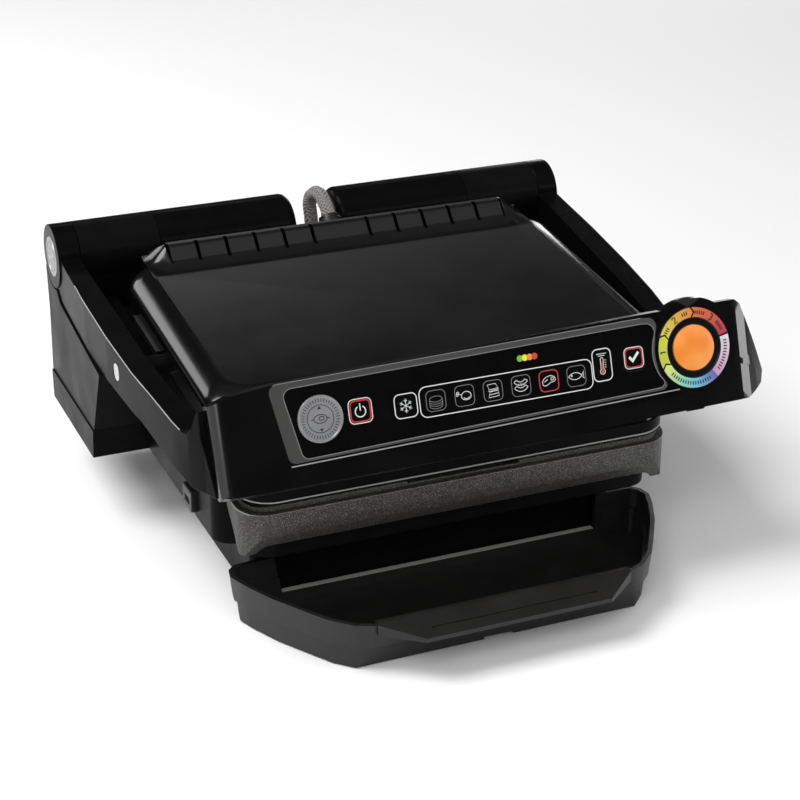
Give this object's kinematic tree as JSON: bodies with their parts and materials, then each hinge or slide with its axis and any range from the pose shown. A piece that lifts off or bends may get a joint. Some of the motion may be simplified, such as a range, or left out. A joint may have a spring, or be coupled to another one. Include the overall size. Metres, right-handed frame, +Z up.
{
  "type": "contact grill",
  "caption": "Electric contact grill: hinged lid frame with a floating heated head, control bar with round indicator, lower cooking plate and removable drip tray",
  "frame": {"origin": "centre of the bounding box on the table plane, under the drip tray and feet", "axes": "+X to the right, towards the indicator end of the control bar; +Y to the back, where the hinge is; +Z up"},
  "size_m": [0.3658, 0.36, 0.184],
  "materials": {
    "gloss_shell": "high gloss black",
    "satin_shell": "fine satin grain, near black",
    "dark_trim": "satin black",
    "nonstick": "speckled dark non-stick coating on die-cast aluminium",
    "tray_plastic": "moulded dark grey, fine speckle",
    "bright_steel": "brushed, satin silver",
    "silver_disc": "spun aluminium disc",
    "reflector": "bright rolled sheet",
    "element": "oxidised steel tube",
    "bronze": "sintered bronze",
    "rubber": "soft black rubber",
    "braid": "woven grey sleeve",
    "fascia": "piano black with printed lines",
    "keycap": "piano black key with a printed symbol",
    "ring_print": "printed colour ring under clear lacquer",
    "lens": "orange translucent lens",
    "board": "circuit board",
    "ceramic": "cream moulded insulator"
  },
  "bodies": {
    "base": {"base_shell": "satin_shell", "base_plinth": "satin_shell", "rear_housing": "gloss_shell", "bottom_cover": "dark_trim", "rubber_feet": "rubber", "base_screws": "bright_steel", "hinge_shafts": "bright_steel", "hinge_bushes": "bronze", "lower_plate": "nonstick", "lower_element": "element", "lower_reflector": "reflector", "lower_thermostat": "bronze", "terminal_block": "ceramic", "mains_gland": "dark_trim", "lead_boot": "dark_trim", "braided_lead": "braid"},
    "lid": {"arm_left": "gloss_shell", "arm_right": "gloss_shell", "control_bar": "gloss_shell", "control_fascia": "fascia", "control_board": "board", "indicator_ring": "ring_print", "indicator_lens": "lens", "indicator_lamp": "board", "round_badge": "silver_disc", "end_cap_left": "silver_disc", "end_cap_right": "silver_disc", "pivot_screw_left": "bright_steel", "pivot_screw_right": "bright_steel"},
    "head": {"head_cover": "gloss_shell", "head_skirt": "satin_shell", "upper_plate": "nonstick", "upper_element": "element", "upper_reflector": "reflector", "lead_collar": "dark_trim", "thickness_sensor": "ceramic", "plate_clip": "bright_steel"},
    "tray": {"drip_tray": "tray_plastic"},
    "lower_release": {"lower_release": "dark_trim"},
    "upper_release": {"upper_release": "dark_trim"},
    "key_power": {"key_power": "keycap"},
    "key_frozen": {"key_frozen": "keycap"},
    "key_burger": {"key_burger": "keycap"},
    "key_poultry": {"key_poultry": "keycap"},
    "key_sandwich": {"key_sandwich": "keycap"},
    "key_sausage": {"key_sausage": "keycap"},
    "key_meat": {"key_meat": "keycap"},
    "key_fish": {"key_fish": "keycap"},
    "key_manual": {"key_manual": "keycap"},
    "key_confirm": {"key_confirm": "keycap"}
  },
  "joints": [
    {"name": "lid_hinge", "type": "hinge", "parent": "base", "child": "lid", "pos_m": [-0.0041, 0.159, 0.154], "axis": [-1, 0, 0], "range_deg": [0, 95], "deforming": ["braided_lead"]},
    {"name": "head_float", "type": "hinge", "parent": "lid", "child": "head", "pos_m": [-0.0041, 0.02, 0.128], "axis": [1, 0, 0], "range_deg": [-1.2, 1.2], "stiffness_Nm_per_rad": 30},
    {"name": "tray_slide", "type": "slide", "parent": "base", "child": "tray", "axis": [0, -1, 0], "range_m": [0, 0.16]},
    {"name": "lower_release_press", "type": "slide", "parent": "base", "child": "lower_release", "axis": [1, 0, 0], "range_m": [0, 0.003], "stiffness_N_per_m": 400},
    {"name": "upper_release_press", "type": "slide", "parent": "head", "child": "upper_release", "axis": [1, 0, 0], "range_m": [0, 0.003], "stiffness_N_per_m": 400},
    {"name": "key_power_press", "type": "slide", "parent": "lid", "child": "key_power", "axis": [0, 0.9489, -0.3156], "range_m": [0, 0.0005], "stiffness_N_per_m": 600},
    {"name": "key_frozen_press", "type": "slide", "parent": "lid", "child": "key_frozen", "axis": [0, 0.9489, -0.3156], "range_m": [0, 0.0005], "stiffness_N_per_m": 600},
    {"name": "key_burger_press", "type": "slide", "parent": "lid", "child": "key_burger", "axis": [0, 0.9489, -0.3156], "range_m": [0, 0.0005], "stiffness_N_per_m": 600},
    {"name": "key_poultry_press", "type": "slide", "parent": "lid", "child": "key_poultry", "axis": [0, 0.9489, -0.3156], "range_m": [0, 0.0005], "stiffness_N_per_m": 600},
    {"name": "key_sandwich_press", "type": "slide", "parent": "lid", "child": "key_sandwich", "axis": [0, 0.9489, -0.3156], "range_m": [0, 0.0005], "stiffness_N_per_m": 600},
    {"name": "key_sausage_press", "type": "slide", "parent": "lid", "child": "key_sausage", "axis": [0, 0.9489, -0.3156], "range_m": [0, 0.0005], "stiffness_N_per_m": 600},
    {"name": "key_meat_press", "type": "slide", "parent": "lid", "child": "key_meat", "axis": [0, 0.9489, -0.3156], "range_m": [0, 0.0005], "stiffness_N_per_m": 600},
    {"name": "key_fish_press", "type": "slide", "parent": "lid", "child": "key_fish", "axis": [0, 0.9489, -0.3156], "range_m": [0, 0.0005], "stiffness_N_per_m": 600},
    {"name": "key_manual_press", "type": "slide", "parent": "lid", "child": "key_manual", "axis": [0, 0.9489, -0.3156], "range_m": [0, 0.0005], "stiffness_N_per_m": 600},
    {"name": "key_confirm_press", "type": "slide", "parent": "lid", "child": "key_confirm", "axis": [0, 0.9489, -0.3156], "range_m": [0, 0.0005], "stiffness_N_per_m": 600}
  ]
}
